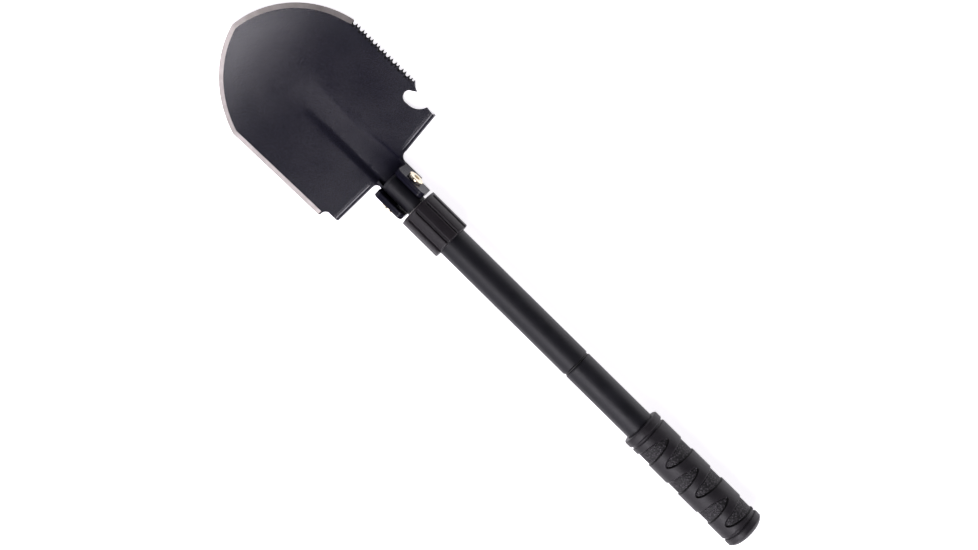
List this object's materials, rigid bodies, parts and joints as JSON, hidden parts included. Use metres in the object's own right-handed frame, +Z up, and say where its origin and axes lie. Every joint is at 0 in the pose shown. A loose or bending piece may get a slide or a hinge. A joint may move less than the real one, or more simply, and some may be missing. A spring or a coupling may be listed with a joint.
{
  "type": "camp shovel",
  "caption": "Folding camp shovel: dished steel blade with saw edge and bottle opener notch, hinged to a two-piece tube handle with a screw lock collar and a rubber grip.",
  "frame": {"origin": "middle of the shovel's length and width, on the surface that it lies on, blade out straight", "axes": "+Y along the handle to the blade's tip, +X to the saw edge, +Z up out of the digging face"},
  "size_m": [0.1365, 0.562, 0.0375],
  "materials": {
    "blade_coating": "black powder coat, satin, fine orange peel",
    "bare_steel": "ground and brushed bare steel",
    "pivot_plating": "pale yellow plating, polished",
    "collar_finish": "charcoal, fine grained",
    "tube_paint": "black, semi-gloss",
    "bare_aluminium": "turned",
    "seal_rubber": "matte",
    "grip_rubber": "satin with textured recesses"
  },
  "bodies": {
    "handle": {"tang": "tube_paint", "tang_pins": "bare_steel", "threaded_ferrule": "bare_aluminium", "front_tube": "tube_paint", "joint_socket": "bare_aluminium"},
    "blade_assembly": {"blade": "blade_coating", "inner_bracket": "blade_coating", "pivot_barrel": "pivot_plating", "pivot_screw": "pivot_plating", "pivot_washers": "bare_steel"},
    "collar_washer": {"thrust_washer": "bare_steel"},
    "collar": {"lock_collar": "collar_finish"},
    "seal": {"joint_seal": "seal_rubber"},
    "rear_handle": {"joint_stud": "bare_aluminium", "rear_tube": "tube_paint", "grip": "grip_rubber", "end_plug": "bare_aluminium", "end_cap": "grip_rubber"}
  },
  "joints": [
    {"name": "blade_fold", "type": "hinge", "parent": "handle", "child": "blade_assembly", "pos_m": [0, 0.0934, 0.0205], "axis": [1, 0, 0], "range_deg": [0, 178]},
    {"name": "collar_travel", "type": "slide", "parent": "handle", "child": "collar_washer", "axis": [0, 1, 0], "range_m": [-0.0101, 0.00095]},
    {"name": "collar_turn", "type": "hinge", "parent": "collar_washer", "child": "collar", "pos_m": [0, 0.0583, 0.0205], "axis": [0, 1, 0], "range_deg": [-1800, 162]},
    {"name": "seal_travel", "type": "slide", "parent": "handle", "child": "seal", "axis": [0, -1, 0], "range_m": [0, 0.0121]},
    {"name": "rear_handle_turn", "type": "hinge", "parent": "seal", "child": "rear_handle", "pos_m": [0, -0.0956, 0.0205], "axis": [0, -1, 0], "range_deg": [0, 2880]}
  ],
  "couplings": [
    {"joint": "collar_travel", "follows": "collar_turn", "m_per_rad": 0.00031831},
    {"joint": "seal_travel", "follows": "rear_handle_turn", "m_per_rad": 0.00023873}
  ]
}
